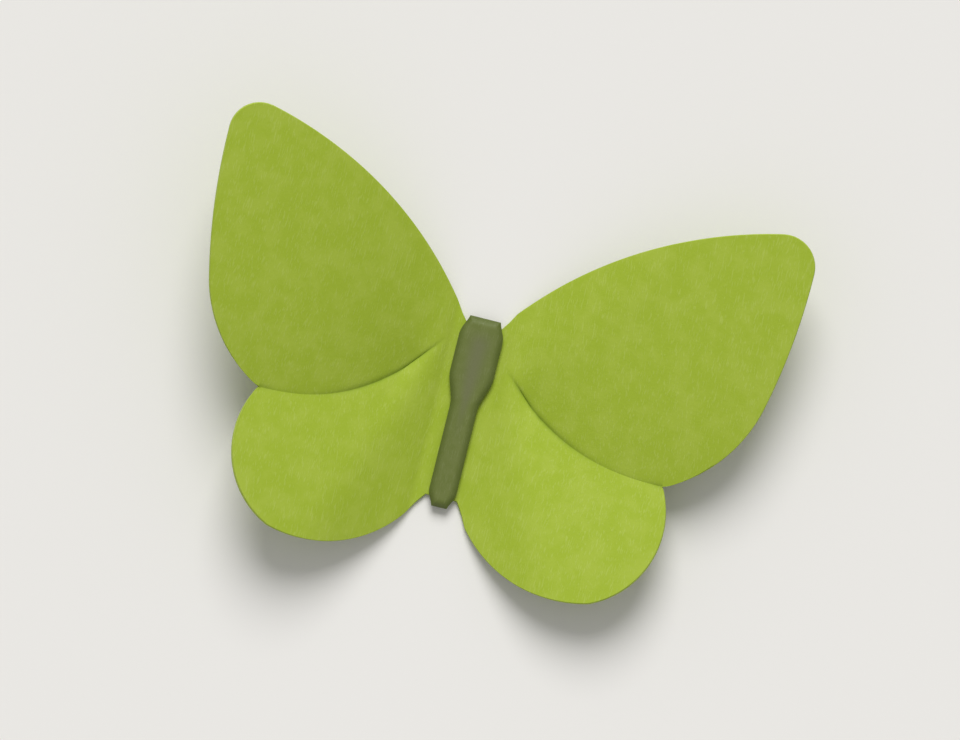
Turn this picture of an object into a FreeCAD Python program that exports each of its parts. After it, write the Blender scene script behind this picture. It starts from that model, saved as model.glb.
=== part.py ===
import FreeCAD, Part
import Sketcher

import math
import os

# A cut and folded paper butterfly, in millimetres.
# X runs across the wings, Y along the body with the head at +Y, and Z up from the face that is glued down.
# The origin lies on that face, under the middle of the body.
# The wings are one sheet of card. A flat band runs under the body, and from a soft bend on each side of it
# a wing rises. A curved valley crease in each wing parts the forewing from the hindwing and fades out at
# the bend. The body is a second, thicker strip of card that is glued on the band.

# Driving sizes in millimetres, with angles in degrees
SIZES = {
    # The sheet, its bends and how far the wing tips droop below the straight line of the fold
    "card_thickness": 0.3,
    "band_width": 3.0,
    "bend_radius": 1.0,
    "left_fold": 28.5,
    "right_fold": 21.0,
    "wing_droop": 3.5,
    # The valley creases: their slopes, where they leave the bend, and how fast they sweep round to the notch.
    # The fade is how far out a crease reaches full depth, and the fan is how much further that is for each
    # millimetre away from it. The dip is its depth, and the arch is how soon the wing flattens away from it.
    "left_crease": 12.0,
    "right_crease": 13.0,
    "left_crease_start": 4.5,
    "right_crease_start": 3.4,
    "crease_sweep": 2.5,
    "crease_fade": 2.5,
    "crease_fan": 0.5,
    "crease_dip": 3.0,
    "wing_arch": 11.0,
    # The cut outline: reaches run out from the bend along the card, and rises and drops from the notch.
    # The tip is round from the crown, where the leading edge ends, to its own place.
    "crown_reach": 15.8,
    "crown_rise": 17.6,
    "tip_reach": 18.5,
    "tip_rise": 15.5,
    "margin_reach": 17.45,
    "margin_rise": 6.4,
    "notch_reach": 12.15,
    "notch_level": -1.45,
    "hind_reach": 9.25,
    "hind_drop": 8.45,
    # How far each side of the outline stands out from the straight line between its corners
    "leading_bulge": 1.42,
    "tip_bulge": 0.8,
    "upper_margin_bulge": 0.25,
    "lower_margin_bulge": 0.9,
    "hind_bulge": 1.9,
    "trailing_bulge": 1.35,
    # The vees between the wings, as places along Y
    "head_root": 6.9,
    "tail_root": -7.0,
    "head_vee": 5.5,
    "tail_vee": -5.5,
    "vee_width": 2.0,
    # The body strip: how far it stands over the vees, and the band left bare beside its widest part
    "strip_overhang": 0.6,
    "strip_margin": 0.1,
    "strip_thickness": 0.6,
    "strip_edge": 0.28,
    "head_width": 1.9,
    "head_bevel": 1.0,
    "thorax_length": 2.9,
    "waist_length": 1.6,
    "abdomen_width": 1.75,
    "tail_bevel": 0.8,
    "tail_width": 0.9,
}

# How the creased surfaces are worked out
BLANK = 1.1      # the sheet before it is cut, against the outline
ACROSS = 10      # steps of control points from the bend to the tip
CROWD = 1.4      # how much those steps crowd towards the bend, where 1 is evenly
ALONG = 5        # steps of control points from the crease to a panel's far edge
NEAR = 0.001     # step over which a slope is measured, and the reach in which two points are one

# Expressions that several pieces share
UNDER_RADIUS = "(sizes.bend_radius + sizes.card_thickness)"
UPPER_RADIUS = "sizes.bend_radius"
BAND_EDGE = "(sizes.band_width / 2)"
WINGS = (("left", -1), ("right", 1))

doc = FreeCAD.newDocument("paper_butterfly")
sizes = doc.addObject("Spreadsheet::Sheet", "sizes")
for row, (alias, value) in enumerate(SIZES.items(), start=1):
    sizes.set(f"A{row}", alias)
    sizes.set(f"B{row}", str(value))
    sizes.setAlias(f"B{row}", alias)
doc.recompute()


def read(expression):
    """Value of an expression on the sheet, as a plain number."""
    return float(sizes.evalExpression(expression))


def place(point):
    """Vector of a point that is given as a pair of expressions."""
    return FreeCAD.Vector(read(point[0]), read(point[1]), 0)


def bend_end(wing, radius):
    """Distance across from the middle to a bend's end, on the face of the card with this radius."""
    return f"({BAND_EDGE} + {radius} * sin(sizes.{wing}_fold))"


# Sketch helpers
def new_sketch(body, name, role):
    """Empty sketch on one of the body's own origin planes."""
    sketch = body.newObject("Sketcher::SketchObject", name)
    plane = next(item for item in body.Origin.OriginFeatures if item.Role == role)
    sketch.AttachmentSupport = [(plane, "")]
    sketch.MapMode = "FlatFace"
    doc.recompute()
    return sketch


def bind(sketch, kind, parts, expression):
    """Add one dimension to a sketch and tie it to the sheet."""
    index = sketch.addConstraint(Sketcher.Constraint(kind, *parts, read(expression)))
    sketch.setExpression(f"Constraints[{index}]", expression)


def pin(sketch, piece, end, point):
    """Tie an end of a line or arc, or an arc's centre, to a point."""
    bind(sketch, "DistanceX", (-1, 1, piece, end), point[0])
    bind(sketch, "DistanceY", (-1, 1, piece, end), point[1])


def join(sketch, piece, end, other, other_end):
    """Bring two ends together."""
    sketch.addConstraint(Sketcher.Constraint("Coincident", piece, end, other, other_end))


def draw_outline(sketch, corners, bulges):
    """Closed chain through the corners, clockwise as seen from above.

    The side after each corner is straight where its bulge is None. Elsewhere it is an arc that stands
    out by the size of that name.
    """
    sides = []
    for number, bulge in enumerate(bulges):
        first, second = corners[number], corners[(number + 1) % len(corners)]
        start, finish = place(first), place(second)
        if bulge is None:
            piece = sketch.addGeometry(Part.LineSegment(start, finish), False)
        else:
            outward = FreeCAD.Vector(0, 0, 1).cross(finish - start).normalize()
            crown = (start + finish) / 2 + outward * read(f"sizes.{bulge}")
            piece = sketch.addGeometry(Part.Arc(start, crown, finish), False)
        near = 1 if sketch.getPoint(piece, 1).isEqual(start, NEAR) else 2
        sides.append((piece, near))
        pin(sketch, piece, near, first)
        if bulge is not None:
            chord = f"(({second[0]} - {first[0]})^2 + ({second[1]} - {first[1]})^2)"
            bind(sketch, "Radius", (piece,), f"{chord} / (8 * sizes.{bulge}) + sizes.{bulge} / 2")
    for number, (piece, near) in enumerate(sides):
        join(sketch, piece, 3 - near, *sides[(number + 1) % len(sides)])
    doc.recompute()


# The flat band with its two bends
def folded_band():
    """The middle of the sheet: its section, run along the body."""
    body = doc.addObject("PartDesign::Body", "folded_band")
    sketch = new_sketch(body, "band_section", "XZ_Plane")
    levels = []
    for height, radius in (("0", UNDER_RADIUS), ("sizes.card_thickness", UPPER_RADIUS)):
        ends = (f"-{BAND_EDGE}", height), (BAND_EDGE, height)
        line = sketch.addGeometry(Part.LineSegment(place(ends[0]), place(ends[1])), False)
        pin(sketch, line, 1, ends[0])
        pin(sketch, line, 2, ends[1])
        levels.append((line, radius))
    for wing, sign in WINGS:
        centre = (f"{sign} * {BAND_EDGE}", UNDER_RADIUS)
        turn = sign * math.radians(read(f"sizes.{wing}_fold"))
        first, last = (1, 2) if sign > 0 else (2, 1)
        arcs = []
        for line, radius in levels:
            circle = Part.Circle(place(centre), FreeCAD.Vector(0, 0, 1), read(radius))
            span = sorted((-math.pi / 2, turn - math.pi / 2))
            arc = sketch.addGeometry(Part.ArcOfCircle(circle, *span), False)
            pin(sketch, arc, 3, centre)
            join(sketch, arc, first, line, last)
            bind(sketch, "DistanceX", (-1, 1, arc, last), f"{sign} * {bend_end(wing, radius)}")
            arcs.append(arc)
        ends = [sketch.getPoint(arc, last) for arc in arcs]
        rim = sketch.addGeometry(Part.LineSegment(*ends), False)
        for end, arc in enumerate(arcs, start=1):
            join(sketch, rim, end, arc, last)
    pad = body.newObject("PartDesign::Pad", "band_length")
    pad.Profile = sketch
    pad.SideType = "Two sides"
    pad.setExpression("Length", "-sizes.tail_root")
    pad.setExpression("Length2", "sizes.head_root")
    doc.recompute()
    return body


# The creased sheets of the two wings
def crease_place(run, start, notch_run):
    """Place along Y of a crease that leaves the bend at the start, at a distance out from the bend."""
    level = read("sizes.notch_level")
    return level + (start - level) * max(1 - run / notch_run, 0) ** read("sizes.crease_sweep")


def wing_height(run, away, fold, slope):
    """Height of a wing's underside over its bend's end, from the run out and the way off the crease."""
    rise = run * math.tan(fold) - read("sizes.wing_droop") * (run / read("sizes.tip_reach")) ** 2
    share = min(run / (read("sizes.crease_fade") + read("sizes.crease_fan") * abs(away)), 1)
    depth = share ** 3 * (10 - 15 * share + 6 * share ** 2)
    arch = read("sizes.wing_arch")
    valley = arch * (1 - math.exp(-abs(away) / arch)) - read("sizes.crease_dip")
    return rise + depth * valley * math.tan(slope)


def smooth_face(poles):
    """Face on a cubic surface over a grid of control points."""
    def knots(count):
        spans = count - 3
        return [4] + [1] * (spans - 1) + [4], [number / spans for number in range(spans + 1)]
    times_across, knots_across = knots(len(poles))
    times_along, knots_along = knots(len(poles[0]))
    surface = Part.BSplineSurface()
    surface.buildFromPolesMultsKnots(
        poles, times_across, times_along, knots_across, knots_along, False, False, 3, 3)
    return surface.toShape()


def creased_sheet(wing, sign):
    """One wing's card before it is cut, from the end of its bend outward."""
    fold = math.radians(read(f"sizes.{wing}_fold"))
    slope = math.radians(read(f"sizes.{wing}_crease"))
    start = read(f"sizes.{wing}_crease_start")
    notch_run = read("sizes.notch_reach") * math.cos(fold)
    reach = BLANK * read("sizes.tip_reach") * math.cos(fold)
    spread = BLANK * read("sizes.crown_rise")

    def underside(run, away):
        height = wing_height(run, away, fold, slope)
        return FreeCAD.Vector(sign * run, crease_place(run, start, notch_run) + away, height)

    def upper_side(run, away):
        outward = underside(run + NEAR, away) - underside(run - NEAR, away)
        endways = underside(run, away + NEAR) - underside(run, away - NEAR)
        normal = outward.cross(endways).normalize() * sign
        return underside(run, away) + normal * read("sizes.card_thickness")

    faces = []
    for panel in (1, -1):
        grid = [[(reach * (out / ACROSS) ** CROWD, panel * spread * step / ALONG) for step in range(ALONG + 1)]
                for out in range(ACROSS + 1)]
        below, above = (
            smooth_face([[side(run, away) for run, away in row] for row in grid])
            for side in (underside, upper_side))
        crease = [underside(0, 0), underside(reach, 0)]
        outer = [
            Part.makeRuledSurface(low, high) for low, high in zip(below.Edges, above.Edges)
            if not all(any(end.Point.isEqual(tip, NEAR) for tip in crease) for end in low.Vertexes)]
        root = [corner.Point for corner in outer[0].OuterWire.OrderedVertexes]
        faces += [below, above, Part.Face(Part.makePolygon(root, True))] + outer[1:]
    shell = Part.makeShell(faces)
    shell.sewShape()
    solid = Part.makeSolid(shell)
    if solid.Volume < 0:
        solid.reverse()
    sheet = doc.addObject("Part::Feature", f"{wing}_sheet")
    sheet.Shape = solid
    lift = read(f"{UNDER_RADIUS} * (1 - cos(sizes.{wing}_fold))")
    sheet.Placement.Base = FreeCAD.Vector(sign * read(bend_end(wing, UNDER_RADIUS)), 0, lift)
    return sheet


# The cut outline, in plan
def wing_corners(wing, sign):
    """Corners of one wing in plan, from the vee at the head round to the vee at the tail."""
    def out(reach):
        return f"({sign} * ({bend_end(wing, UNDER_RADIUS)} + sizes.{reach} * cos(sizes.{wing}_fold)))"

    def level(change):
        return f"(sizes.notch_level {change} * cos(sizes.{wing}_crease))"

    root = f"({sign} * {bend_end(wing, UNDER_RADIUS)})"
    vee = f"({sign} * sizes.vee_width / 2)"
    return [
        (vee, "sizes.head_vee"),
        (root, "sizes.head_root"),
        (out("crown_reach"), level("+ sizes.crown_rise")),
        (out("tip_reach"), level("+ sizes.tip_rise")),
        (out("margin_reach"), level("+ sizes.margin_rise")),
        (out("notch_reach"), "sizes.notch_level"),
        (out("hind_reach"), level("- sizes.hind_drop")),
        (root, "sizes.tail_root"),
        (vee, "sizes.tail_vee"),
    ]


def cut_outline():
    """The block that the outline takes from the folded sheet."""
    right, left = wing_corners("right", 1), wing_corners("left", -1)
    sides = [
        None, "leading_bulge", "tip_bulge", "upper_margin_bulge", "lower_margin_bulge",
        "hind_bulge", "trailing_bulge", None]
    body = doc.addObject("PartDesign::Body", "cut_outline")
    sketch = new_sketch(body, "outline", "XY_Plane")
    draw_outline(sketch, right + left[::-1], sides + [None] + sides[::-1] + [None])
    pad = body.newObject("PartDesign::Pad", "outline_depth")
    pad.Profile = sketch
    pad.SideType = "Two sides"
    pad.setExpression("Length", "2 * sizes.tip_reach")
    pad.setExpression("Length2", "sizes.tip_reach")
    doc.recompute()
    return body


def wings():
    """The one sheet of card, with its band, bends and wings cut to the outline."""
    sheet = doc.addObject("Part::MultiFuse", "folded_sheet")
    sheet.Shapes = [folded_band()] + [creased_sheet(wing, sign) for wing, sign in WINGS]
    sheet.Refine = True
    cut = doc.addObject("Part::Common", "wings")
    cut.Base = sheet
    cut.Tool = cut_outline()
    doc.recompute()
    return cut


# The strip on the band
def body_strip():
    """The body: a strip with a bevelled head, a wide thorax, a slim abdomen and pared upper edges."""
    body = doc.addObject("PartDesign::Body", "body_strip")
    body.setExpression("Placement.Base.z", "sizes.card_thickness")
    head = "(sizes.head_vee + sizes.strip_overhang)"
    tail = "(sizes.tail_vee - sizes.strip_overhang)"
    thorax = "(sizes.band_width - 2 * sizes.strip_margin)"
    waist = f"({head} - sizes.head_bevel - sizes.thorax_length)"
    stations = [
        ("sizes.head_width", head),
        (thorax, f"({head} - sizes.head_bevel)"),
        (thorax, waist),
        ("sizes.abdomen_width", f"({waist} - sizes.waist_length)"),
        ("sizes.abdomen_width", f"({tail} + sizes.tail_bevel)"),
        ("sizes.tail_width", tail),
    ]
    right = [(f"({width} / 2)", along) for width, along in stations]
    left = [(f"(-{width} / 2)", along) for width, along in reversed(stations)]
    sketch = new_sketch(body, "strip_outline", "XY_Plane")
    draw_outline(sketch, right + left, [None] * len(right + left))
    pad = body.newObject("PartDesign::Pad", "strip_depth")
    pad.Profile = sketch
    pad.setExpression("Length", "sizes.strip_thickness")
    doc.recompute()
    heights = [face.CenterOfMass.z for face in pad.Shape.Faces]
    pared = body.newObject("PartDesign::Chamfer", "pared_edges")
    pared.Base = (pad, [f"Face{heights.index(max(heights)) + 1}"])
    pared.setExpression("Size", "sizes.strip_edge")
    doc.recompute()
    return body


# Build, check and write
nodes = [wings(), body_strip()]
for item in doc.Objects:
    if "Invalid" in item.State or "Error" in item.State:
        raise RuntimeError(f"{item.Label} did not build: {item.State}")
for node in nodes:
    if node.Shape.isNull() or not node.Shape.isValid() or len(node.Shape.Solids) != 1:
        raise RuntimeError(f"{node.Label} is not one sound solid")
os.makedirs("parts", exist_ok=True)
for node in nodes:
    node.Shape.exportStep(f"parts/{node.Label}.step")
    print(node.Label, round(node.Shape.Volume, 2), "cubic millimetres")
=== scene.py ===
"""A cut and folded paper butterfly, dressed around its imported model.

The wings are one sheet of green card with a flat band, two soft bends and a pressed crease in each wing.
The body is a strip of dark card that is glued on the band. Lengths are in millimetres until a mesh is made.
"""

import logging
import math
from collections.abc import Sequence
from dataclasses import dataclass
from enum import Enum

import bmesh
import bpy
from mathutils import Euler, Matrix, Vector, noise

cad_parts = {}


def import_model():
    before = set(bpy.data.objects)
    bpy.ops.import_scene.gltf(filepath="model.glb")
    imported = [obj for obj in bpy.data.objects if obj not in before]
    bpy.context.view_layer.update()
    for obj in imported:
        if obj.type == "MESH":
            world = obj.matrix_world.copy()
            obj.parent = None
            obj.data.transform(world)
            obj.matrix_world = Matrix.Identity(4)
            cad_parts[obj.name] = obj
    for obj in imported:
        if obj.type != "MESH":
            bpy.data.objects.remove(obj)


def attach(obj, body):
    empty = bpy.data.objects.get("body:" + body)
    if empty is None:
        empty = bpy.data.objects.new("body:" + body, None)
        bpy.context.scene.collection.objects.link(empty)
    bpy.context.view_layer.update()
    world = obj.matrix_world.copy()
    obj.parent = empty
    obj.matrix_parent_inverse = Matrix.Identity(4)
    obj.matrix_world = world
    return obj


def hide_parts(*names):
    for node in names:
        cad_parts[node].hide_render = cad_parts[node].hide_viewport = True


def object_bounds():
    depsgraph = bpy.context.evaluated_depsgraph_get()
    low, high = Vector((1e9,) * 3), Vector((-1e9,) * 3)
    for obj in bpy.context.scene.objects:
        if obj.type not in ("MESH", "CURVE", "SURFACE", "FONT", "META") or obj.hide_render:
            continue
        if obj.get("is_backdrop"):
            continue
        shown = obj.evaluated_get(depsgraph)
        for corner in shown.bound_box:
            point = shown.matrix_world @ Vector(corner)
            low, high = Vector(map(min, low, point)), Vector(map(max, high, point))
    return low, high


MM = 0.001
BODY = "root"
NORMAL_LAYER = "card_normal"
FLOAT_SOCKET = "NodeSocketFloat"
COLOUR_SOCKET = "NodeSocketColor"
# Sockets of a Mix node that mixes colours: its share and its two colours, and its result
MIX_INPUTS = (0, 6, 7)
MIX_RESULT = 2
LOG = logging.getLogger("butterfly")

Point = tuple[float, float]
Colour = tuple[float, float, float, float]
Row = list[tuple[Vector, Vector, float]]
Ring = dict[int, bmesh.types.BMVert]


class Side(Enum):
    """The two wings, by their sign along X."""

    LEFT = -1
    RIGHT = 1


class Panel(Enum):
    """The two panels of a wing, by the side of the crease that they lie on."""

    FORE = 1
    HIND = -1


class Mask(Enum):
    """Masks that a mesh carries for its material."""

    CUT = "cut"
    # Where the crease is pressed or the body is pared, which the material darkens as painted shade
    PRESSED_SHADE = "pressed"
    CROWN = "crown"


def blend(first: float, second: float, share: float) -> float:
    """Value at a share of the way from first to second."""
    return first + (second - first) * share


def smooth(share: float) -> float:
    """Smooth step of a share, flat at 0 and at 1."""
    share = min(max(share, 0.0), 1.0)
    return share * share * (3 - 2 * share)


def smoother(share: float) -> float:
    """Smoother step of a share, with neither slope nor bend at 0 and at 1."""
    return share**3 * (10 - 15 * share + 6 * share**2)


def arc(start: Point, finish: Point, bulge: float, steps: int) -> list[Point]:
    """Points of an arc that stands out to the left of the way from start to finish.

    Args:
        start: Where the arc begins.
        finish: Where it ends.
        bulge: How far its middle stands out from the straight line.
        steps: How many steps it is divided into.

    Returns:
        The points from start to finish, both included.
    """
    along = Vector(finish) - Vector(start)
    chord = along.length
    radius = chord * chord / (8 * bulge) + bulge / 2
    out = Vector((-along.y, along.x)) / chord
    centre = (Vector(start) + Vector(finish)) / 2 + out * (bulge - radius)
    half = math.asin(min(chord / (2 * radius), 1.0))
    points = []
    for step in range(steps + 1):
        turn = blend(-half, half, step / steps)
        point = centre + out * radius * math.cos(turn) + along / chord * radius * math.sin(turn)
        points.append((point.x, point.y))
    return points


def evenly(points: Sequence[Point], steps: int) -> list[Point]:
    """Divide a chain of points into even steps along its length.

    Args:
        points: The chain.
        steps: How many steps are wanted.

    Returns:
        One point more than there are steps.
    """
    reached = [0.0]
    for first, second in zip(points, points[1:]):
        reached.append(reached[-1] + math.dist(first, second))
    even, piece = [], 0
    for step in range(steps + 1):
        wanted = reached[-1] * step / steps
        while piece < len(points) - 2 and reached[piece + 1] < wanted:
            piece += 1
        span = reached[piece + 1] - reached[piece]
        share = min((wanted - reached[piece]) / span, 1.0)
        even.append(tuple(blend(a, b, share) for a, b in zip(points[piece], points[piece + 1])))
    return even


def to_object(name: str, mesh: bmesh.types.BMesh) -> bpy.types.Object:
    """Turn a mesh in millimetres into an object in metres.

    Args:
        name: Name of the piece.
        mesh: The mesh, which is freed.

    Returns:
        The new object, linked to the scene.
    """
    bmesh.ops.recalc_face_normals(mesh, faces=mesh.faces)
    bmesh.ops.scale(mesh, vec=Vector((MM, MM, MM)), verts=mesh.verts)
    for face in mesh.faces:
        face.smooth = True
    data = bpy.data.meshes.new(name)
    mesh.to_mesh(data)
    mesh.free()
    piece = bpy.data.objects.new(name, data)
    bpy.context.scene.collection.objects.link(piece)
    return piece


@dataclass(frozen=True)
class WingFold:
    """How one wing is folded.

    Attributes:
        side: Which wing it is.
        fold: How steeply the wing rises from the ground, in degrees.
        crease: How steeply its panels rise from the crease, in degrees.
        crease_start: Place along Y where its crease leaves the bend.
        seed: Place in the noise that its slight waves come from.
    """

    side: Side
    fold: float
    crease: float
    crease_start: float
    seed: float

    def cos_fold(self) -> float:
        """Cosine of the fold."""
        return math.cos(math.radians(self.fold))

    def sin_fold(self) -> float:
        """Sine of the fold."""
        return math.sin(math.radians(self.fold))

    def tan_fold(self) -> float:
        """Tangent of the fold."""
        return math.tan(math.radians(self.fold))

    def cos_crease(self) -> float:
        """Cosine of the crease's slope."""
        return math.cos(math.radians(self.crease))

    def tan_crease(self) -> float:
        """Tangent of the crease's slope."""
        return math.tan(math.radians(self.crease))


@dataclass
class WingSheet:
    """The one sheet of card that makes the band, the bends and both wings.

    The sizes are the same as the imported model's. Reaches run out from the bend along the card.
    """

    folds: tuple[WingFold, WingFold] = (
        WingFold(Side.LEFT, fold=28.5, crease=12.0, crease_start=4.5, seed=3.0),
        WingFold(Side.RIGHT, fold=21.0, crease=13.0, crease_start=3.4, seed=17.0),
    )
    # The card, the flat band under the body and the bends beside it
    thickness: float = 0.3
    band_width: float = 3.0
    bend_radius: float = 1.0
    # How far the tips droop, and the run, the fading and the valley of each crease
    droop: float = 3.5
    crease_sweep: float = 2.5
    crease_fade: float = 2.5
    crease_fan: float = 0.5
    crease_dip: float = 3.0
    arch: float = 11.0
    # Corners of a wing's cut edge, as reaches along the card and distances from the notch
    crown: Point = (15.8, 17.6)
    tip: Point = (18.5, 15.5)
    margin: Point = (17.45, 6.4)
    notch_reach: float = 12.15
    notch_level: float = -1.45
    hind: Point = (9.25, -8.45)
    # How far the cut edge bulges between its corners
    leading_bulge: float = 1.42
    tip_bulge: float = 0.8
    upper_margin_bulge: float = 0.25
    lower_margin_bulge: float = 0.9
    hind_bulge: float = 1.9
    trailing_bulge: float = 1.35
    # The ends of a wing's root along Y, and the vees that are cut into the ends of the band
    head_root: float = 6.9
    tail_root: float = -7.0
    head_vee: float = 5.5
    tail_vee: float = -5.5
    vee_width: float = 2.0
    # The pressed line along the crease, a shallow dent whose mask also paints shade into the colour: strong
    # near the body, faint beyond it, stronger at the notch
    score_depth: float = 0.07
    score_width: float = 0.25
    score_begin: float = 1.4
    score_length: float = 6.0
    score_tail: float = 0.15
    score_notch: float = 0.6
    notch_length: float = 1.6
    # The slight waves of the card
    wave_depth: float = 0.1
    wave_length: float = 9.0
    # How far the faces end inside the cut edge, as a length and at most as a share of a mesh step,
    # and the shares of the thickness between which the cut edge stands full
    edge_round: float = 0.05
    round_limit: float = 0.4
    full_shares: tuple[float, float] = (0.25, 0.75)
    # How finely the mesh is divided, and how near to each other its vertices are welded
    out_steps: int = 120
    side_steps: int = 44
    side_crowd: float = 1.5
    bend_steps: int = 6
    arc_steps: int = 60
    crease_detail: int = 4
    weld: float = 1e-4
    # The reach over which a slope is measured, which also rounds the inside of the crease
    near: float = 0.2

    def root_place(self, wing: WingFold) -> float:
        """Distance from the middle to the end of a bend, on the underside."""
        return self.band_width / 2 + (self.bend_radius + self.thickness) * wing.sin_fold()

    def crease_place(self, wing: WingFold, run: float) -> float:
        """Place along Y of a wing's crease, at a distance out from its bend.

        Args:
            wing: The wing.
            run: Distance out from the bend's end, level with the ground.

        Returns:
            The place along Y.
        """
        share = max(1 - run / (self.notch_reach * wing.cos_fold()), 0.0)
        return self.notch_level + (wing.crease_start - self.notch_level) * share**self.crease_sweep

    def pressed(self, wing: WingFold, run: float, away: float) -> float:
        """How deep in the pressed line of the crease a place lies, from 0 to 1.

        Args:
            wing: The wing.
            run: Distance out from the bend's end.
            away: Distance off the crease along Y.

        Returns:
            1 in the middle of the line near the body, and 0 well off it.
        """
        left = self.notch_reach * wing.cos_fold() - run
        begin = smooth(run / self.score_begin)
        inner = 1 - smooth((run - self.score_length / 2) / self.score_length)
        notch = self.score_notch * (1 - smooth(left / self.notch_length))
        strength = 0.0 if left < 0 else begin * max(inner, notch, self.score_tail)
        return strength * math.exp(-((away / self.score_width) ** 2))

    def height(self, wing: WingFold, run: float, away: float) -> float:
        """Height of a wing's underside over the end of its bend.

        Args:
            wing: The wing.
            run: Distance out from the bend's end.
            away: Distance off the crease along Y.

        Returns:
            The height.
        """
        tip_reach = self.tip[0]
        rise = run * wing.tan_fold() - self.droop * (run / tip_reach) ** 2
        share = min(run / (self.crease_fade + self.crease_fan * abs(away)), 1.0)
        depth = smoother(share)
        valley = self.arch * (1 - math.exp(-abs(away) / self.arch)) - self.crease_dip
        spot = Vector((run / self.wave_length, away / self.wave_length, wing.seed))
        wave = self.wave_depth * smooth(run / self.wave_length) * (0.5 + 0.5 * noise.noise(spot))
        return rise + depth * valley * wing.tan_crease() - wave

    def on_wing(self, wing: WingFold, run: float, along: float) -> tuple[Vector, Vector]:
        """Underside point of a wing and the card's normal there.

        Args:
            wing: The wing.
            run: Distance out from the bend's end.
            along: Place along Y.

        Returns:
            The point and the unit normal, which points up.
        """
        side = wing.side.value
        root = self.root_place(wing)
        lift = (self.bend_radius + self.thickness) * (1 - wing.cos_fold())
        away = along - self.crease_place(wing, run)
        level = lift + self.height(wing, run, away) - self.score_depth * self.pressed(wing, run, away)
        point = Vector((side * (root + run), along, level))
        out = (self.height(wing, run + self.near, away) - self.height(wing, run - self.near, away)) / 2
        endways = (self.height(wing, run, away + self.near) - self.height(wing, run, away - self.near)) / 2
        sweep = (self.crease_place(wing, run + self.near) - self.crease_place(wing, run - self.near)) / 2
        normal = Vector((-side * (out - endways * sweep / self.near), -endways, self.near))
        return point, normal.normalized()

    def on_band(self, wing: WingFold, turn: float, across: float, along: float) -> tuple[Vector, Vector]:
        """Underside point of the band or a bend and the card's normal there.

        Args:
            wing: The wing on that side.
            turn: Angle round the bend in radians, 0 on the flat band.
            across: Distance from the middle where the bend begins or on the flat band.
            along: Place along Y.

        Returns:
            The point and the unit normal, which points up.
        """
        side, radius = wing.side.value, self.bend_radius + self.thickness
        place = across + radius * math.sin(turn)
        point = Vector((side * place, along, radius * (1 - math.cos(turn))))
        return point, Vector((-side * math.sin(turn), 0, math.cos(turn)))

    def outline(self, wing: WingFold, panel: Panel) -> list[Point]:
        """Cut edge of one panel in plan, from its root to the notch.

        Args:
            wing: The wing.
            panel: The panel.

        Returns:
            Points as distances out from the bend and places along Y, evenly spaced.
        """

        def corner(reach: float, rise: float) -> Point:
            """Place in plan of a corner that is given along the card."""
            return reach * wing.cos_fold(), self.notch_level + rise * wing.cos_crease()

        notch = corner(self.notch_reach, 0.0)
        if panel is Panel.FORE:
            outer = [corner(*place) for place in (self.crown, self.tip, self.margin)]
            corners = [(0.0, self.head_root), *outer, notch]
            bulges = [self.leading_bulge, self.tip_bulge, self.upper_margin_bulge, self.lower_margin_bulge]
        else:
            corners = [notch, corner(*self.hind), (0.0, self.tail_root)]
            bulges = [self.hind_bulge, self.trailing_bulge]
        chain: list[Point] = []
        for first, second, bulge in zip(corners, corners[1:], bulges):
            chain += arc(first, second, bulge, self.arc_steps)[1 if chain else 0:]
        return evenly(chain if panel is Panel.FORE else chain[::-1], self.out_steps)

    def crease_line(self, wing: WingFold) -> list[Point]:
        """Crease of one wing in plan, from its root to the notch.

        Args:
            wing: The wing.

        Returns:
            Points as distances out from the bend and places along Y, evenly spaced.
        """
        end = self.notch_reach * wing.cos_fold()
        fine = self.crease_detail * self.out_steps
        runs = [end * step / fine for step in range(fine + 1)]
        return evenly([(run, self.crease_place(wing, run)) for run in runs], self.out_steps)

    def side_share(self, step: int) -> float:
        """Share of the way from the crease to the cut edge, crowded towards the crease."""
        return (step / self.side_steps) ** self.side_crowd

    def wing_rows(self, wing: WingFold, panel: Panel) -> list[Row]:
        """Grid of one panel, as rows from the root to the notch.

        Args:
            wing: The wing.
            panel: The panel.

        Returns:
            Rows of underside points, normals and pressed masks, each from the crease to the cut edge.
        """
        rows = []
        for (run, level), (edge_run, edge_level) in zip(self.crease_line(wing), self.outline(wing, panel)):
            row = []
            for step in range(self.side_steps + 1):
                share = self.side_share(step)
                out, along = blend(run, edge_run, share), blend(level, edge_level, share)
                away = along - self.crease_place(wing, out)
                row.append((*self.on_wing(wing, out, along), self.pressed(wing, out, away)))
            rows.append(row)
        return rows

    def band_edge(self, wing: WingFold, across: float, panel: Panel) -> float:
        """Place along Y of the vee's cut edge.

        Args:
            wing: The wing on that side.
            across: Distance from the middle.
            panel: The panel that this end of the band leads to.

        Returns:
            The place along Y.
        """
        vee, root = self.tail_vee, self.tail_root
        if panel is Panel.FORE:
            vee, root = self.head_vee, self.head_root
        start = self.vee_width / 2
        share = max((across - start) / (self.root_place(wing) - start), 0.0)
        return blend(vee, root, share)

    def band_rows(self, wing: WingFold, panel: Panel) -> list[Row]:
        """Grid of one side of the band with its bend, as rows from the middle to the wing's root.

        Args:
            wing: The wing on that side.
            panel: The half of the band, by the panel that it leads to.

        Returns:
            Rows of underside points, normals and pressed masks.
        """
        flat_end, vee = self.band_width / 2, self.vee_width / 2
        stations = [(0.0, across) for across in (0.0, vee / 2, vee, (vee + flat_end) / 2, flat_end)]
        turn = math.radians(wing.fold)
        stations += [(turn * step / self.bend_steps, flat_end) for step in range(1, self.bend_steps + 1)]
        middle = sum(fold.crease_start for fold in self.folds) / len(self.folds)
        rows = []
        for angle, across in stations:
            place = across + (self.bend_radius + self.thickness) * math.sin(angle)
            start = blend(middle, wing.crease_start, place / self.root_place(wing))
            edge = self.band_edge(wing, place, panel)
            row = []
            for step in range(self.side_steps + 1):
                along = blend(start, edge, self.side_share(step))
                row.append((*self.on_band(wing, angle, across, along), 0.0))
            rows.append(row)
        return rows

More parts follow.
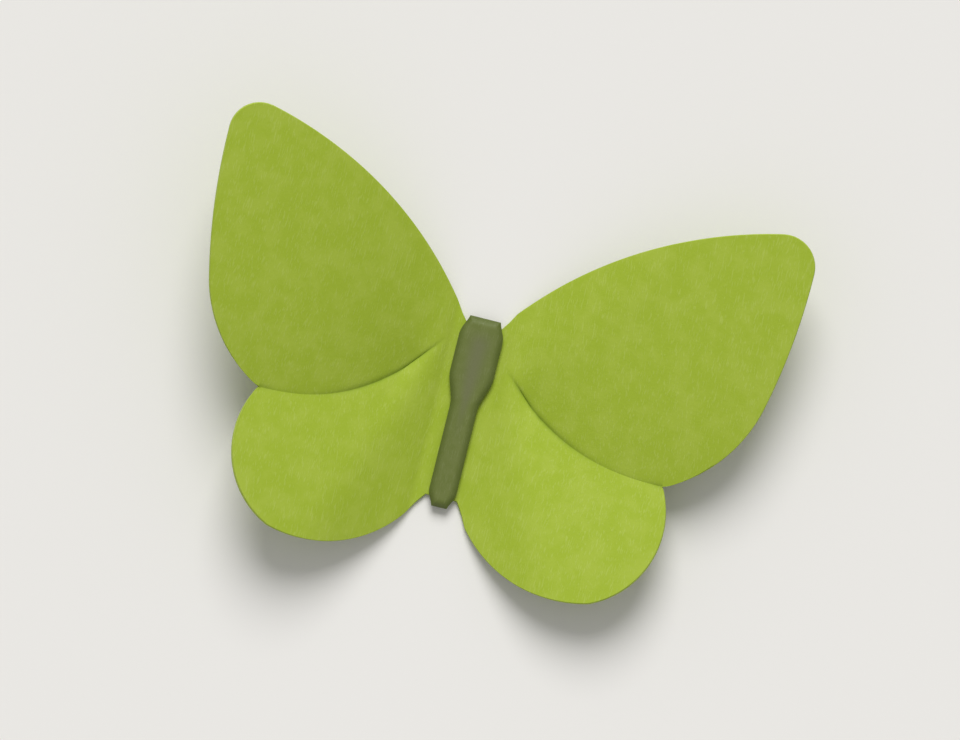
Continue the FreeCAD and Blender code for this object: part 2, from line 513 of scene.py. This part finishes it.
    @staticmethod
    def add_grid(mesh: bmesh.types.BMesh, rows: Sequence[Row]) -> None:
        """Add a grid of faces to the underside.

        Args:
            mesh: The underside, with its layers.
            rows: Rows of points, normals and pressed masks.
        """
        normal_layer = mesh.verts.layers.float_vector[NORMAL_LAYER]
        painted_shade_layer = mesh.verts.layers.float[Mask.PRESSED_SHADE.value]
        grid = []
        for row in rows:
            line = []
            for point, normal, pressed in row:
                vert = mesh.verts.new(point)
                vert[normal_layer] = normal
                # The pressed mask, which paints shade along the crease
                vert[painted_shade_layer] = pressed
                line.append(vert)
            grid.append(line)
        for first, second in zip(grid, grid[1:]):
            for corners in zip(first, second, second[1:], first[1:]):
                mesh.faces.new(corners)

    def plan_mesh(self) -> bmesh.types.BMesh:
        """Underside of the whole sheet, one face thick, with its normals and masks in layers.

        Returns:
            The mesh in millimetres, welded along the roots, the creases and the middle.
        """
        mesh = bmesh.new()
        mesh.verts.layers.float_vector.new(NORMAL_LAYER)
        mesh.verts.layers.float.new(Mask.PRESSED_SHADE.value)
        for wing in self.folds:
            for panel in Panel:
                self.add_grid(mesh, self.band_rows(wing, panel))
                self.add_grid(mesh, self.wing_rows(wing, panel))
        bmesh.ops.remove_doubles(mesh, verts=mesh.verts, dist=self.weld)
        bmesh.ops.recalc_face_normals(mesh, faces=mesh.faces)
        mesh.faces.ensure_lookup_table()
        if mesh.faces[0].normal.z < 0:
            bmesh.ops.reverse_faces(mesh, faces=mesh.faces)
        return mesh

    def build(self) -> bpy.types.Object:
        """Give the sheet its thickness and its softened cut edge.

        Returns:
            The finished sheet as an object in metres.
        """
        plan = self.plan_mesh()
        plan.verts.ensure_lookup_table()
        plan.verts.index_update()
        normals = plan.verts.layers.float_vector[NORMAL_LAYER]
        pressed = plan.verts.layers.float[Mask.PRESSED_SHADE.value]
        rims = {vert.index: self.rim_step(vert) for vert in plan.verts if vert.is_boundary}
        mesh = bmesh.new()
        cut_layer = mesh.verts.layers.float.new(Mask.CUT.value)
        painted_shade_layer = mesh.verts.layers.float.new(Mask.PRESSED_SHADE.value)

        def ring(share: float, is_face: bool, verts: Sequence[bmesh.types.BMVert]) -> Ring:
            """Make the vertices at one share of the thickness.

            Args:
                share: The share, from the underside up.
                is_face: Whether they carry a face, which ends inside the cut edge.
                verts: The vertices of the underside that they stand over.

            Returns:
                The new vertices by the index of those below.
            """
            made = {}
            for vert in verts:
                place = vert.co + vert[normals] * self.thickness * share
                if is_face and vert.index in rims:
                    place -= rims[vert.index]
                new = mesh.verts.new(place)
                new[cut_layer] = 0.0 if is_face else 1.0
                # The painted-shade mask of the crease, carried up through the thickness
                new[painted_shade_layer] = vert[pressed]
                made[vert.index] = new
            return made

        edge_verts = [plan.verts[index] for index in rims]
        rings = [
            ring(0.0, True, plan.verts),
            *(ring(share, False, edge_verts) for share in self.full_shares),
            ring(1.0, True, plan.verts),
        ]
        for face in plan.faces:
            order = [vert.index for vert in face.verts]
            mesh.faces.new([rings[-1][index] for index in order])
            mesh.faces.new([rings[0][index] for index in reversed(order)])
        for edge in plan.edges:
            if edge.is_boundary:
                a, b = (vert.index for vert in edge.verts)
                for low, high in zip(rings, rings[1:]):
                    mesh.faces.new((low[a], low[b], high[b], high[a]))
                for face_ring in (rings[0], rings[-1]):
                    mesh.edges.get((face_ring[a], face_ring[b])).smooth = False
        plan.free()
        return to_object("folded_wings", mesh)

    def rim_step(self, vert: bmesh.types.BMVert) -> Vector:
        """Step outward, level with the ground, from a face's edge to the true cut edge.

        Args:
            vert: A vertex on the cut edge.

        Returns:
            The step, shortened where the mesh is fine.
        """
        out = Vector((0, 0, 0))
        for edge in vert.link_edges:
            if edge.is_boundary:
                along = edge.other_vert(vert).co - vert.co
                across = Vector((along.y, -along.x, 0)).normalized()
                inside = edge.link_faces[0].calc_center_median() - vert.co
                out += across if across.dot(inside) < 0 else -across
        inner = [edge.calc_length() for edge in vert.link_edges if not edge.is_boundary]
        return out.normalized() * min([self.edge_round] + [self.round_limit * length for length in inner])


@dataclass
class BodyStrip:
    """The strip of dark card on the band, with a wide thorax, a slim abdomen and pared upper edges.

    The stations are half widths at places along Y, from the tail to the head.
    """

    base: float = 0.3
    thickness: float = 0.6
    pared_depth: float = 0.28
    pared_width: float = 0.5
    tail: float = -6.1
    head: float = 6.1
    tail_half: float = 0.45
    abdomen_half: float = 0.875
    thorax_half: float = 1.4
    head_half: float = 0.95
    tail_bevel: float = 0.8
    head_bevel: float = 1.0
    thorax_length: float = 2.9
    waist_length: float = 1.6
    corner_round: float = 0.3
    # The painted highlight on the crown, as distances from the head and as shares of the half width
    crown_start: float = 1.2
    crown_end: float = 8.2
    crown_wide: float = 0.8
    crown_narrow: float = 0.35
    # How finely the mesh is divided, and how many widths are taken on each side to soften a corner
    along_steps: int = 96
    across_steps: int = 28
    corner_samples: int = 4

    def half_width(self, along: float) -> float:
        """Half the strip's width at a place along Y, with its corners softened.

        Args:
            along: The place.

        Returns:
            The half width.
        """
        neck = self.head - self.head_bevel
        waist = neck - self.thorax_length
        stations = [
            (self.tail, self.tail_half),
            (self.tail + self.tail_bevel, self.abdomen_half),
            (waist - self.waist_length, self.abdomen_half),
            (waist, self.thorax_half),
            (neck, self.thorax_half),
            (self.head, self.head_half),
        ]

        def straight(place: float) -> float:
            """Half the width with sharp corners.

            Args:
                place: The place along Y.

            Returns:
                The half width, which past an end is that of the end.
            """
            place = min(max(place, self.tail), self.head)
            for (first, low), (second, high) in zip(stations, stations[1:]):
                if place <= second:
                    return blend(low, high, (place - first) / (second - first))
            return self.head_half

        count = self.corner_samples
        samples = [straight(along + self.corner_round * step / count) for step in range(-count, count + 1)]
        return sum(samples) / len(samples)

    def inside(self, across: float, along: float) -> float:
        """Distance from a place to the strip's nearest edge."""
        return min(self.half_width(along) - abs(across), self.head - along, along - self.tail)

    def top(self, across: float, along: float) -> float:
        """Height of the upper face, which is pared down towards its edges."""
        drop = max(1 - self.inside(across, along) / self.pared_width, 0.0) ** 2
        return self.base + self.thickness - self.pared_depth * drop

    def crown_highlight_mask(self, across: float, along: float) -> float:
        """How strongly a painted highlight lightens the strip at a place, in a wedge that narrows from the
        head towards the tail.

        Args:
            across: Distance from the middle.
            along: Place along Y.

        Returns:
            1 where it is palest, and 0 outside the wedge.
        """
        down = self.head - along
        begun = smooth((down - self.crown_start / 2) / self.crown_start)
        ended = smooth((down - self.crown_end / 2) / (self.crown_end / 2))
        share = blend(self.crown_wide, self.crown_narrow, min(down / self.crown_end, 1.0))
        half = self.half_width(along) * share
        return begun * (1 - ended) * (1 - smooth(abs(across) / half))

    @staticmethod
    def rims(grid: Sequence[Sequence[bmesh.types.BMVert]]) -> list[Sequence[bmesh.types.BMVert]]:
        """First and last rows of a grid of vertices, then its first and last columns."""
        columns = list(zip(*grid))
        return [grid[0], grid[-1], columns[0], columns[-1]]

    def build(self) -> bpy.types.Object:
        """Build the strip as a closed mesh.

        Returns:
            The finished strip as an object in metres.
        """
        mesh = bmesh.new()
        layers = {mask: mesh.verts.layers.float.new(mask.value) for mask in Mask}

        def vert(across: float, along: float, level: float) -> bmesh.types.BMVert:
            """Make a vertex with its masks.

            Args:
                across: Distance from the middle.
                along: Place along Y.
                level: Height.

            Returns:
                The new vertex.
            """
            new = mesh.verts.new((across, along, level))
            new[layers[Mask.CUT]] = 1.0 if level < self.base + self.thickness - self.pared_depth else 0.0
            # Painted shade on the pared, sloping edges of the strip
            new[layers[Mask.PRESSED_SHADE]] = 1 - smooth(self.inside(across, along) / self.pared_width)
            # Painted highlight on the crown of the thorax
            new[layers[Mask.CROWN]] = self.crown_highlight_mask(across, along)
            return new

        grid = []
        for row in range(self.along_steps + 1):
            along = blend(self.tail, self.head, 0.5 - 0.5 * math.cos(math.pi * row / self.along_steps))
            half = self.half_width(along)
            line = []
            for column in range(self.across_steps + 1):
                across = -half * math.cos(math.pi * column / self.across_steps)
                line.append((across, along))
            grid.append(line)
        upper = [[vert(*place, self.top(*place)) for place in line] for line in grid]
        lower = [[vert(*place, self.base) for place in line] for line in grid]
        for rows, turned in ((upper, False), (lower, True)):
            for first, second in zip(rows, rows[1:]):
                for corners in zip(first, first[1:], second[1:], second):
                    mesh.faces.new(corners[::-1] if turned else corners)
        for high, low in zip(self.rims(upper), self.rims(lower)):
            for a, b, c, d in zip(high, high[1:], low[1:], low):
                mesh.faces.new((a, b, c, d))
                mesh.edges.get((a, b)).smooth = False
                mesh.edges.get((c, d)).smooth = False
        return to_object("body_card", mesh)


@dataclass(frozen=True)
class Wiring:
    """A node tree with short ways to add to it."""

    tree: bpy.types.NodeTree

    def node(self, kind: str, **settings: object) -> bpy.types.Node:
        """Add a node.

        Args:
            kind: The node's type.
            settings: Its own settings by name.

        Returns:
            The new node.
        """
        node = self.tree.nodes.new(kind)
        for name, value in settings.items():
            setattr(node, name, value)
        return node

    def link(self, source: bpy.types.NodeSocket, target: bpy.types.NodeSocket) -> None:
        """Join two sockets."""
        self.tree.links.new(source, target)

    def put(self, socket: bpy.types.NodeSocket, value: object) -> None:
        """Set a socket, or join it where the value is a socket.

        Args:
            socket: The socket.
            value: A value of its type, or the socket that feeds it.
        """
        if isinstance(value, bpy.types.NodeSocket):
            self.link(value, socket)
        else:
            socket.default_value = value

    def maths(self, operation: str, *values: object) -> bpy.types.NodeSocket:
        """Add a Math node.

        Args:
            operation: What it works out.
            values: Its inputs, as values or sockets.

        Returns:
            The socket of its result.
        """
        node = self.node("ShaderNodeMath", operation=operation)
        for socket, value in zip(node.inputs, values):
            self.put(socket, value)
        return node.outputs[0]

    def ramp(
            self, value: object, low: float, high: float, to_low: float = 0.0, to_high: float = 1.0
    ) -> bpy.types.NodeSocket:
        """Map a value smoothly from one range to another.

        Args:
            value: The value or the socket that gives it.
            low: Where the first range begins.
            high: Where it ends.
            to_low: Where the second range begins.
            to_high: Where it ends.

        Returns:
            The socket of the mapped value.
        """
        node = self.node("ShaderNodeMapRange", interpolation_type="SMOOTHSTEP")
        for socket, item in zip(node.inputs, (value, low, high, to_low, to_high)):
            self.put(socket, item)
        return node.outputs[0]

    def mix(self, share: object, first: object, second: object) -> bpy.types.NodeSocket:
        """Mix two colours.

        Args:
            share: The second colour's share.
            first: The first colour.
            second: The second colour.

        Returns:
            The socket of the mixed colour.
        """
        node = self.node("ShaderNodeMix", data_type="RGBA")
        for index, item in zip(MIX_INPUTS, (share, first, second)):
            self.put(node.inputs[index], item)
        return node.outputs[MIX_RESULT]

    def noise(self, where: object, scale: object, detail: float, rough: float) -> bpy.types.NodeSocket:
        """Add a noise texture.

        Args:
            where: The socket of the place that it is read at.
            scale: Its scale, or the socket that gives it.
            detail: How detailed it is.
            rough: How rough it is.

        Returns:
            The socket of its value.
        """
        node = self.node("ShaderNodeTexNoise")
        self.put(node.inputs["Vector"], where)
        self.put(node.inputs["Scale"], scale)
        node.inputs["Detail"].default_value = detail
        node.inputs["Roughness"].default_value = rough
        return node.outputs[0]


@dataclass(frozen=True)
class BrokenTone:
    """A tone that covers a marked place unevenly.

    Attributes:
        name: Name of its shader group.
        label: Name of the socket that its colour goes into.
        grain: Scale of the noise that breaks it up.
        detail: Detail of that noise.
        rough: Roughness of that noise.
        band: Values of that noise between which the tone grows to its full strength.
        least: Its strength below that band.
    """

    name: str
    label: str
    grain: float
    detail: float
    rough: float
    band: tuple[float, float]
    least: float


# Painted shade: a darker tone where the card is pressed along a crease or pared at the body's edges,
# standing in for the shade in the fold and on the sloping edges
CREASE_AND_PARE_SHADE = BrokenTone(
    name="painted_crease_shade", label="Painted Shade Colour", grain=2600.0, detail=2.0, rough=0.5,
    band=(0.25, 0.75), least=0.7)

# The paler, open fibres along a cut edge
CUT_EDGE = BrokenTone(
    name="cut_edge", label="Core Colour", grain=4200.0, detail=3.0, rough=0.6,
    band=(0.3, 0.65), least=0.25)


class Effects:
    """The shader groups that the finishes share."""

    # Detail and roughness of each noise
    TOOTH_NOISE = (4.0, 0.6)
    CLOUD_NOISE = (3.0, 0.55)
    FIBRE_NOISE = (1.0, 0.4)
    # How far each lay of fibres is turned, in radians, and squeezed along its length
    FIBRE_LAYS = ((0.6, 0.14), (2.1, 0.18), (1.3, 0.12))
    # Values of the noise between which fibres and clouds grow to their full strength
    FIBRE_BAND = (0.63, 0.72)
    CLOUD_BAND = (0.38, 0.66)
    # How far a fibre stands out over the tooth
    FIBRE_HEIGHT = 0.35

    def __init__(self) -> None:
        """Build each group once."""
        self.tooth = self.card_tooth()
        # Painted shade for the pressed crease and the pared edges
        self.pressed = self.broken_tone(CREASE_AND_PARE_SHADE)
        self.cut = self.broken_tone(CUT_EDGE)

    @staticmethod
    def start(
            name: str, inputs: Sequence[tuple[str, str]], outputs: Sequence[tuple[str, str]]
    ) -> tuple[Wiring, bpy.types.Node, bpy.types.Node]:
        """Make an empty group with named sockets.

        Args:
            name: The group's name.
            inputs: Names and socket types of what goes in.
            outputs: Names and socket types of what comes out.

        Returns:
            The wiring, the node of its inputs and the node of its outputs.
        """
        tree = bpy.data.node_groups.new(name, "ShaderNodeTree")
        for label, kind in inputs:
            tree.interface.new_socket(label, in_out="INPUT", socket_type=kind)
        for label, kind in outputs:
            tree.interface.new_socket(label, in_out="OUTPUT", socket_type=kind)
        wiring = Wiring(tree)
        return wiring, wiring.node("NodeGroupInput"), wiring.node("NodeGroupOutput")

    def card_tooth(self) -> bpy.types.NodeTree:
        """The felt-like tooth of card, with its fibres and its cloudy tone.

        Returns:
            The group, which gives a height, a cloud mask and a fibre mask.
        """
        wiring, given, wanted = self.start(
            "card_tooth",
            [(label, FLOAT_SOCKET) for label in ("Tooth Scale", "Cloud Scale", "Fibre Scale")],
            [(label, FLOAT_SOCKET) for label in ("Height", "Cloud", "Fibre")])
        where = wiring.node("ShaderNodeTexCoord").outputs["Object"]
        tooth = wiring.noise(where, given.outputs["Tooth Scale"], *self.TOOTH_NOISE)
        cloud = wiring.noise(where, given.outputs["Cloud Scale"], *self.CLOUD_NOISE)
        fibres = []
        for turn, squeeze in self.FIBRE_LAYS:
            lay = wiring.node("ShaderNodeMapping")
            wiring.link(where, lay.inputs["Vector"])
            lay.inputs["Rotation"].default_value = (0.0, 0.0, turn)
            lay.inputs["Scale"].default_value = (1.0, squeeze, 1.0)
            strand = wiring.noise(lay.outputs[0], given.outputs["Fibre Scale"], *self.FIBRE_NOISE)
            fibres.append(wiring.ramp(strand, *self.FIBRE_BAND))
        fibre = wiring.maths("MAXIMUM", wiring.maths("MAXIMUM", fibres[0], fibres[1]), fibres[2])
        height = wiring.maths("MULTIPLY_ADD", fibre, self.FIBRE_HEIGHT, tooth)
        wiring.link(height, wanted.inputs["Height"])
        wiring.link(wiring.ramp(cloud, *self.CLOUD_BAND), wanted.inputs["Cloud"])
        wiring.link(fibre, wanted.inputs["Fibre"])
        return wiring.tree

    def broken_tone(self, tone: BrokenTone) -> bpy.types.NodeTree:
        """A tone that shows where a mask says, broken up by noise.

        Args:
            tone: The tone.

        Returns:
            The group, which gives a colour.
        """
        inputs = [(label, COLOUR_SOCKET) for label in ("Colour", tone.label)]
        inputs += [(label, FLOAT_SOCKET) for label in ("Mask", "Amount")]
        wiring, given, wanted = self.start(tone.name, inputs, [("Colour", COLOUR_SOCKET)])
        where = wiring.node("ShaderNodeTexCoord").outputs["Object"]
        grain = wiring.noise(where, tone.grain, tone.detail, tone.rough)
        broken = wiring.ramp(grain, *tone.band, tone.least)
        share = wiring.maths("MULTIPLY", given.outputs["Mask"], given.outputs["Amount"])
        share = wiring.maths("MULTIPLY", share, broken)
        mixed = wiring.mix(share, given.outputs["Colour"], given.outputs[tone.label])
        wiring.link(mixed, wanted.inputs["Colour"])
        return wiring.tree


@dataclass(frozen=True)
class CardFinish:
    """A dyed card.

    Attributes:
        name: Name of the material.
        colour: The card's own colour.
        cloud_colour: The tone of its cloudy patches.
        fibre_colour: The tone of its fibres.
        painted_shade_colour: Painted shade where the card is pressed or pared.
        core_colour: The tone of its cut edges.
        roughness: How matt it is, low in its tooth and high on it.
        tooth_size: Size of its tooth in millimetres.
        cloud_size: Size of its cloudy patches in millimetres.
        fibre_size: Width of its fibres in millimetres.
        tooth_depth: Depth of its tooth in millimetres.
        cloud_amount: How strongly the clouds show.
        fibre_amount: How strongly the fibres show.
        painted_shade_amount: How strongly that painted shade shows.
        cut_amount: How strongly the cut edge shows.
        crown_highlight_colour: A painted highlight on the crown, for a piece that has one.
        specular: How strongly it reflects light.
        tooth_band: Heights of its tooth between which it goes from the one to the other.
    """

    name: str
    colour: Colour
    cloud_colour: Colour
    fibre_colour: Colour
    painted_shade_colour: Colour
    core_colour: Colour
    roughness: tuple[float, float]
    tooth_size: float
    cloud_size: float
    fibre_size: float
    tooth_depth: float
    cloud_amount: float
    fibre_amount: float
    painted_shade_amount: float
    cut_amount: float
    crown_highlight_colour: Colour | None = None
    specular: float = 0.3
    tooth_band: tuple[float, float] = (0.3, 0.8)

    def material(self, effects: Effects) -> bpy.types.Material:
        """Build the card's material.

        Args:
            effects: The shared shader groups.

        Returns:
            The material.
        """
        material = bpy.data.materials.new(self.name)
        material.use_nodes = True
        wiring = Wiring(material.node_tree)
        shader = material.node_tree.nodes["Principled BSDF"]
        shader.inputs["Specular IOR Level"].default_value = self.specular
        tooth = wiring.node("ShaderNodeGroup", node_tree=effects.tooth)
        sizes = {
            "Tooth Scale": self.tooth_size,
            "Cloud Scale": self.cloud_size,
            "Fibre Scale": self.fibre_size,
        }
        for label, size in sizes.items():
            tooth.inputs[label].default_value = 1 / (size * MM)
        cloud = wiring.maths("MULTIPLY", tooth.outputs["Cloud"], self.cloud_amount)
        colour = wiring.mix(cloud, self.colour, self.cloud_colour)
        fibre = wiring.maths("MULTIPLY", tooth.outputs["Fibre"], self.fibre_amount)
        colour = wiring.mix(fibre, colour, self.fibre_colour)
        # Painted highlight on the crown
        if self.crown_highlight_colour is not None:
            crown = wiring.node("ShaderNodeAttribute", attribute_name=Mask.CROWN.value)
            colour = wiring.mix(crown.outputs["Fac"], colour, self.crown_highlight_colour)
        # Painted shade where the card is pressed or pared, then the cut edge's own core tone
        marks = (
            (effects.pressed, CREASE_AND_PARE_SHADE.label, self.painted_shade_colour, Mask.PRESSED_SHADE, self.painted_shade_amount),
            (effects.cut, CUT_EDGE.label, self.core_colour, Mask.CUT, self.cut_amount),
        )
        for group, label, tone, mask, amount in marks:
            effect = wiring.node("ShaderNodeGroup", node_tree=group)
            marked = wiring.node("ShaderNodeAttribute", attribute_name=mask.value)
            wiring.link(colour, effect.inputs["Colour"])
            wiring.link(marked.outputs["Fac"], effect.inputs["Mask"])
            effect.inputs[label].default_value = tone
            effect.inputs["Amount"].default_value = amount
            colour = effect.outputs["Colour"]
        wiring.link(colour, shader.inputs["Base Color"])
        matt = wiring.ramp(tooth.outputs["Height"], *self.tooth_band, *self.roughness)
        wiring.link(matt, shader.inputs["Roughness"])
        bump = wiring.node("ShaderNodeBump")
        bump.inputs["Distance"].default_value = self.tooth_depth * MM
        wiring.link(tooth.outputs["Height"], bump.inputs["Height"])
        wiring.link(bump.outputs["Normal"], shader.inputs["Normal"])
        return material


GREEN_CARD = CardFinish(
    name="green_card",
    colour=(0.322, 0.432, 0.028, 1.0),
    cloud_colour=(0.375, 0.475, 0.056, 1.0),
    fibre_colour=(0.445, 0.540, 0.115, 1.0),
    # Painted shade in the pressed crease
    painted_shade_colour=(0.180, 0.265, 0.014, 1.0),
    core_colour=(0.430, 0.530, 0.130, 1.0),
    roughness=(0.86, 0.70),
    tooth_size=0.16,
    cloud_size=1.3,
    fibre_size=0.1,
    tooth_depth=0.012,
    cloud_amount=0.55,
    fibre_amount=0.3,
    painted_shade_amount=0.9,
    cut_amount=0.6,
)

DARK_CARD = CardFinish(
    name="dark_card",
    colour=(0.118, 0.148, 0.030, 1.0),
    cloud_colour=(0.138, 0.166, 0.044, 1.0),
    fibre_colour=(0.195, 0.220, 0.090, 1.0),
    # Painted shade on the pared edges
    painted_shade_colour=(0.078, 0.104, 0.020, 1.0),
    core_colour=(0.088, 0.112, 0.028, 1.0),
    roughness=(0.62, 0.48),
    tooth_size=0.14,
    cloud_size=0.8,
    fibre_size=0.09,
    tooth_depth=0.010,
    cloud_amount=0.6,
    fibre_amount=0.3,
    painted_shade_amount=0.7,
    cut_amount=0.5,
    # Painted highlight on the crown of the body
    crown_highlight_colour=(0.134, 0.146, 0.060, 1.0),
)


@dataclass
class Studio:
    """The pale ground, the soft light and the camera, which looks straight down as the photograph does."""

    ground_colour: Colour = (0.815, 0.800, 0.770, 1.0)
    ground_roughness: float = 0.95
    ground_specular: float = 0.1
    ground_half: float = 3.0
    ground_gap: float = 0.00002
    sky_strength: float = 0.42
    # The way from the part to the key light, and the angle in degrees that the light fills
    key_direction: tuple[float, float, float] = (-0.14, 0.69, 0.71)
    key_strength: float = 2.57
    key_spread: float = 34.0
    # The lens, the width in metres that it sees, its lean in degrees, and how many times nearer and
    # farther than the part it still sees
    lens: float = 400.0
    view_width: float = 0.060
    lean: float = 14.0
    clip_range: float = 100.0

    def ground(self) -> bpy.types.Object:
        """Lay the plain ground just under the part.

        Returns:
            The ground, marked as backdrop.
        """
        mesh = bmesh.new()
        bmesh.ops.create_grid(mesh, x_segments=2, y_segments=2, size=self.ground_half)
        data = bpy.data.meshes.new("ground")
        mesh.to_mesh(data)
        mesh.free()
        material = bpy.data.materials.new("plain_ground")
        material.use_nodes = True
        shader = material.node_tree.nodes["Principled BSDF"]
        shader.inputs["Base Color"].default_value = self.ground_colour
        shader.inputs["Roughness"].default_value = self.ground_roughness
        shader.inputs["Specular IOR Level"].default_value = self.ground_specular
        data.materials.append(material)
        ground = bpy.data.objects.new("ground", data)
        ground.location.z = -self.ground_gap
        bpy.context.scene.collection.objects.link(ground)
        ground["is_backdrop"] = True
        return ground

    def sky(self) -> None:
        """Light the part evenly from all round, and show the ground's colour where the ground ends."""
        world = bpy.data.worlds.new("soft_sky")
        bpy.context.scene.world = world
        world.use_nodes = True
        wiring = Wiring(world.node_tree)
        background = world.node_tree.nodes["Background"]
        path = wiring.node("ShaderNodeLightPath")
        seen = wiring.maths("MAXIMUM", path.outputs["Is Camera Ray"], path.outputs["Is Glossy Ray"])
        seen = wiring.maths("MAXIMUM", seen, path.outputs["Is Transmission Ray"])
        light = (self.sky_strength,) * 3 + (1.0,)
        wiring.link(wiring.mix(seen, light, self.ground_colour), background.inputs["Color"])

    def key(self) -> None:
        """Add the soft key light, which comes from the head side."""
        lamp = bpy.data.lights.new("key", "SUN")
        lamp.energy = self.key_strength
        lamp.angle = math.radians(self.key_spread)
        key = bpy.data.objects.new("key", lamp)
        key.rotation_euler = Vector(self.key_direction).to_track_quat("Z", "Y").to_euler()
        bpy.context.scene.collection.objects.link(key)

    def camera(self, low: Vector, high: Vector) -> None:
        """Look straight down on the part, with its head leaning to the right.

        Args:
            low: Lowest corner of the part's box.
            high: Highest corner of the part's box.
        """
        data = bpy.data.cameras.new("camera")
        data.lens = self.lens
        distance = self.view_width * self.lens / data.sensor_width
        data.clip_start, data.clip_end = distance / self.clip_range, distance * self.clip_range
        camera = bpy.data.objects.new("camera", data)
        middle = (low + high) / 2
        camera.location = (middle.x, middle.y, middle.z + distance)
        camera.rotation_euler = Euler((0.0, 0.0, math.radians(self.lean)))
        bpy.context.scene.collection.objects.link(camera)
        bpy.context.scene.camera = camera


def dress(piece: bpy.types.Object, finish: CardFinish, effects: Effects, node: str) -> None:
    """Give a piece its finish, and say which node of the frame it stands for.

    Args:
        piece: The piece.
        finish: The card that it is made of.
        effects: The shared shader groups.
        node: The node that it replaces.
    """
    piece.data.materials.append(finish.material(effects))
    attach(piece, BODY)
    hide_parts(node)
    LOG.info("%s stands for %s: %d faces", piece.name, node, len(piece.data.polygons))


def main() -> None:
    """Load the frame, build and dress both pieces, and set up the studio."""
    logging.basicConfig(level=logging.INFO, format="%(name)s: %(message)s")
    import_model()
    model_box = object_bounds()
    effects = Effects()
    dress(WingSheet().build(), GREEN_CARD, effects, "wings")
    dress(BodyStrip().build(), DARK_CARD, effects, "body_strip")
    studio = Studio()
    studio.ground()
    studio.sky()
    studio.key()
    studio.camera(*model_box)
    bpy.context.scene.view_settings.view_transform = "Standard"


if __name__ == "__main__":
    main()
